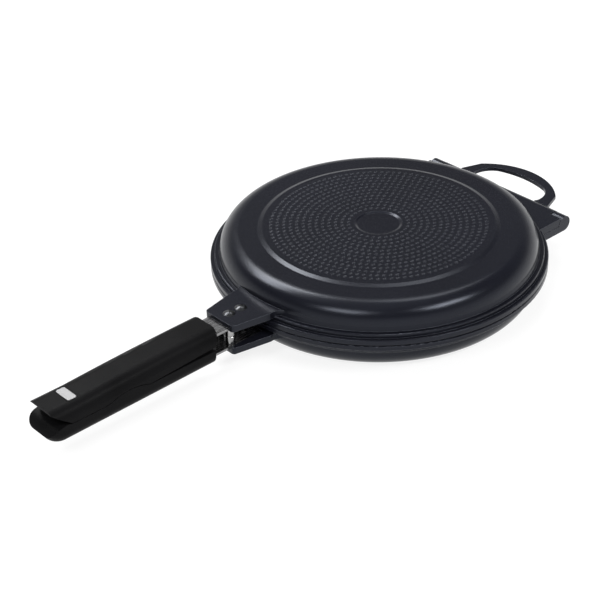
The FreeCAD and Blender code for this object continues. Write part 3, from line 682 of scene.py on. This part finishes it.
@dataclass
class BaseDimples:
    """Rings of small dimples on a pan's raised base disc."""

    half: Half
    face_level: float
    outward: float
    first_ring: float = 26.5 * MM
    ring_pitch: float = 5.73 * MM
    ring_count: int = 13
    dimple_radius: float = 1.8 * MM
    dimple_depth: float = 0.8 * MM
    spacing: float = 5.6 * MM
    fewest: int = 12
    sides: int = 10
    floor_share: float = 0.06
    profile: tuple[Span, ...] = ((1.0, 0.0), (0.82, 0.5), (0.62, 0.34), (0.3, 0.1))

    def rings(self) -> list[tuple[float, int]]:
        """Lays out the rings.

        Returns:
            The radius and the dimple count of each ring.
        """
        radii = [self.first_ring + index * self.ring_pitch for index in range(self.ring_count)]
        return [(radius, max(self.fewest, round(math.tau * radius / self.spacing)))
                for radius in radii]

    def build(self, finish: bpy.types.Material) -> bpy.types.Object:
        """Builds the dimples.

        Args:
            finish: The coating.

        Returns:
            The new piece.
        """
        mesh = bmesh.new()
        for index, (radius, count) in enumerate(self.rings()):
            for step in range(count):
                angle = math.tau * (step + 0.5 * (index % 2)) / count
                centre = Vector((radius * math.cos(angle), radius * math.sin(angle), 0))
                self._dimple(mesh, centre)
        name = f"{self.half.value}_base_dimples"
        return mesh_object(name, mesh, finish, self.half)

    def _dimple(self, mesh: bmesh.types.BMesh, centre: Vector) -> None:
        """Adds one dimple: a low rim that falls back to a shallow floor.

        Args:
            mesh: The mesh it goes into.
            centre: Its centre in plan.
        """
        rows = []
        for share, rise in self.profile:
            row = []
            for side in range(self.sides):
                angle = math.tau * side / self.sides
                reach = self.dimple_radius * share
                level = self.face_level + self.outward * self.dimple_depth * rise
                row.append(mesh.verts.new((centre.x + reach * math.cos(angle),
                                           centre.y + reach * math.sin(angle), level)))
            rows.append(row)
        for outer, inner in zip(rows, rows[1:]):
            for side in range(self.sides):
                after = (side + 1) % self.sides
                mesh.faces.new((outer[side], outer[after], inner[after], inner[side]))
        floor = self.face_level + self.outward * self.dimple_depth * self.floor_share
        middle = mesh.verts.new((centre.x, centre.y, floor))
        for side in range(self.sides):
            mesh.faces.new((rows[-1][side], rows[-1][(side + 1) % self.sides], middle))


class Pan:
    """The two castings and everything fixed to them."""

    def __init__(self, effects: SharedEffects) -> None:
        """Builds the finishes.

        Args:
            effects: The shared node groups.
        """
        self.coating = CastCoating().build(effects)
        self.rivet_steel = PlatedMetal(name="rivet_steel", colour=(0.06, 0.062, 0.066),
                                       roughness=0.26).build(effects)
        self.steel = BrushedSteel().build(effects)
        self.rod_steel = BrushedSteel(name="rod_steel", lines=(1.0, 0.03, 1.0)).build(effects)
        self.plating = PlatedMetal().build(effects)
        self.rubber = SealRubber().build(effects)
        self.plastic = MouldedPlastic().build(effects)
        self.liner_plastic = MouldedPlastic(name="liner_plastic", colour=linear(24, 24, 26),
                                            roughness=0.6, grain_scale=1100.0).build(effects)
        self.aluminium = SatinAluminium().build(effects)

    def dress(self, nodes: dict[str, bpy.types.Object]) -> None:
        """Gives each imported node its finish.

        Args:
            nodes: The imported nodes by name.
        """
        finishes = {
            "upper_pan": self.coating, "lower_pan": self.coating, "rim_seal": self.rubber,
            "hinge_rod": self.rod_steel, "hinge_rod_plug": self.rod_steel,
            "hinge_washers": self.rod_steel, "badge_plate": self.aluminium,
        }
        for word in ("upper", "lower"):
            finishes[f"{word}_tang"] = self.steel
            finishes[f"{word}_rivets"] = self.rivet_steel
            finishes[f"{word}_rivet_washers"] = self.steel
            finishes[f"{word}_magnets"] = self.plating
            finishes[f"{word}_grip"] = self.plastic
            finishes[f"{word}_grip_liner"] = self.liner_plastic
            finishes[f"{word}_liner_screws"] = self.steel
        for name, node in nodes.items():
            finish = finishes[name]
            for place in node.material_slots:
                place.material = finish
            log.info("%s wears %s", name, finish.name)

    def build(self) -> None:
        """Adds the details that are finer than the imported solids."""
        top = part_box("upper_pan")[1][2]
        BaseDimples(Half.UPPER, face_level=top, outward=1.0).build(self.coating)
        BaseDimples(Half.LOWER, face_level=0.0, outward=-1.0).build(self.coating)


@dataclass(frozen=True)
class Lamp:
    """A soft rectangular lamp, in metres and watts."""

    name: str
    place: tuple[float, float, float]
    size: Span
    power: float


@dataclass
class Studio:
    """Plain white studio: floor, soft lamps, world and camera."""

    camera_place: tuple[float, float, float] = (-0.858670, -0.883385, 0.759156)
    right: tuple[float, float, float] = (0.743195, -0.668360, -0.030903)
    up: tuple[float, float, float] = (0.376106, 0.379127, 0.845463)
    lens: float = 96.0
    sensor: float = 36.0
    clip: Span = (0.05, 50.0)
    world_light: float = 0.25
    wall_top: float = 0.1
    ceiling_start: float = 0.42
    ceiling_tone: float = 0.1
    floor_half: float = 6.0
    floor_cells: int = 8
    floor_level: float = -0.5 * MM
    floor_paint: float = 0.8
    floor_seen: float = 0.22
    floor_glow: Span = (0.84, 1.0)
    floor_glow_reach: Span = (1.2, 3.5)
    aim: tuple[float, float, float] = (0.0, 0.0, 0.04)
    lamps: tuple[Lamp, ...] = (
        Lamp("overhead", (0.0, 0.2, 1.6), (1.6, 1.6), 3.0),
        Lamp("back_key", (0.08, 2.41, 2.91), (2.4, 0.9), 108.0),
        Lamp("back_right", (1.73, 1.08, 3.2), (1.0, 1.0), 14.0),
        Lamp("front_left", (-2.62, -0.85, 2.85), (1.5, 1.0), 48.0),
        Lamp("front_right", (0.6, -2.75, 2.95), (1.7, 0.8), 80.0),
    )

    def camera(self) -> None:
        """Places the camera where the photograph was taken from."""
        data = bpy.data.cameras.new("camera")
        data.lens = self.lens
        data.sensor_width = self.sensor
        data.clip_start, data.clip_end = self.clip
        holder = bpy.data.objects.new("camera", data)
        right, up = Vector(self.right), Vector(self.up)
        back = right.cross(up)
        turn = Matrix((right, up, back)).transposed().to_4x4()
        holder.matrix_world = Matrix.Translation(Vector(self.camera_place)) @ turn
        bpy.context.scene.collection.objects.link(holder)
        bpy.context.scene.camera = holder

    @staticmethod
    def white_share(graph: Graph) -> bpy.types.NodeSocket:
        """Tells the rays that show the background from those that light the object.

        Args:
            graph: The graph of the floor or the world.

        Returns:
            One where a ray sees the background directly, mirrored or through glass.
        """
        path = graph.add("ShaderNodeLightPath")
        seen = graph.math("ADD", path.outputs["Is Camera Ray"], path.outputs["Is Glossy Ray"])
        return graph.math("ADD", seen, path.outputs["Is Transmission Ray"], clamp=True)

    def world(self) -> None:
        """Sets white walls under a dark ceiling, and a soft light from all round."""
        world = bpy.data.worlds.new("studio")
        bpy.context.scene.world = world
        world.use_nodes = True
        graph = Graph(world.node_tree)
        output = graph.add("ShaderNodeOutputWorld")
        light = graph.add("ShaderNodeBackground")
        white = graph.add("ShaderNodeBackground")
        graph.feed(light, "Color", WHITE)
        graph.feed(light, "Strength", self.world_light)
        graph.feed(white, "Color", WHITE)
        height = graph.add("ShaderNodeSeparateXYZ")
        graph.feed(height, 0, graph.add("ShaderNodeTexCoord").outputs["Generated"])
        fade = graph.remap(height.outputs["Z"], (self.wall_top, self.ceiling_start),
                           (1.0, self.ceiling_tone))
        graph.feed(white, "Strength", fade)
        mix = graph.add("ShaderNodeMixShader")
        graph.feed(mix, 0, self.white_share(graph))
        graph.feed(mix, 1, light.outputs[0])
        graph.feed(mix, 2, white.outputs[0])
        graph.feed(output, "Surface", mix.outputs[0])

    def floor(self) -> None:
        """Lays a white floor that keeps the object's soft shadow."""
        mesh = bmesh.new()
        bmesh.ops.create_grid(mesh, x_segments=self.floor_cells, y_segments=self.floor_cells,
                              size=self.floor_half)
        for vertex in mesh.verts:
            vertex.co.z = self.floor_level
        data = bpy.data.meshes.new("floor")
        mesh.to_mesh(data)
        mesh.free()
        material = bpy.data.materials.new("studio_floor")
        material.use_nodes = True
        graph = Graph(material.node_tree)
        output = graph.add("ShaderNodeOutputMaterial")
        paint = graph.add("ShaderNodeBsdfDiffuse")
        graph.feed(paint, "Color", scaled(WHITE, self.floor_paint))
        glow = graph.add("ShaderNodeEmission")
        graph.feed(glow, "Color", WHITE)
        spot = graph.add("ShaderNodeVectorMath", operation="LENGTH")
        graph.feed(spot, 0, graph.add("ShaderNodeTexCoord").outputs["Object"])
        graph.feed(glow, "Strength", graph.remap(spot.outputs["Value"], self.floor_glow_reach,
                                                 self.floor_glow))
        seen = graph.add("ShaderNodeBsdfDiffuse")
        graph.feed(seen, "Color", scaled(WHITE, self.floor_seen))
        lit = graph.add("ShaderNodeAddShader")
        graph.feed(lit, 0, glow.outputs[0])
        graph.feed(lit, 1, seen.outputs[0])
        mix = graph.add("ShaderNodeMixShader")
        graph.feed(mix, 0, self.white_share(graph))
        graph.feed(mix, 1, paint.outputs[0])
        graph.feed(mix, 2, lit.outputs[0])
        graph.feed(output, "Surface", mix.outputs[0])
        data.materials.append(material)
        floor = bpy.data.objects.new("floor", data)
        bpy.context.scene.collection.objects.link(floor)

    def light(self, lamp: Lamp) -> None:
        """Hangs a lamp and points it at the object.

        Args:
            lamp: The lamp.
        """
        data = bpy.data.lights.new(lamp.name, "AREA")
        data.shape = "RECTANGLE"
        data.size, data.size_y = lamp.size
        data.energy = lamp.power
        holder = bpy.data.objects.new(lamp.name, data)
        holder.location = Vector(lamp.place)
        beam = Vector(self.aim) - Vector(lamp.place)
        holder.rotation_euler = beam.to_track_quat("-Z", "Y").to_euler()
        bpy.context.scene.collection.objects.link(holder)

    def build(self) -> None:
        """Builds the whole studio."""
        self.camera()
        self.world()
        self.floor()
        for lamp in self.lamps:
            self.light(lamp)


def main() -> None:
    """Builds the dressed pan in its studio."""
    logging.basicConfig(level=logging.INFO, format="%(name)s: %(message)s")
    bpy.context.scene.view_settings.view_transform = "Standard"
    effects = SharedEffects()
    pan = Pan(effects)
    pan.dress(frame["nodes"])
    pan.build()
    Studio().build()


if __name__ == "__main__":
    main()
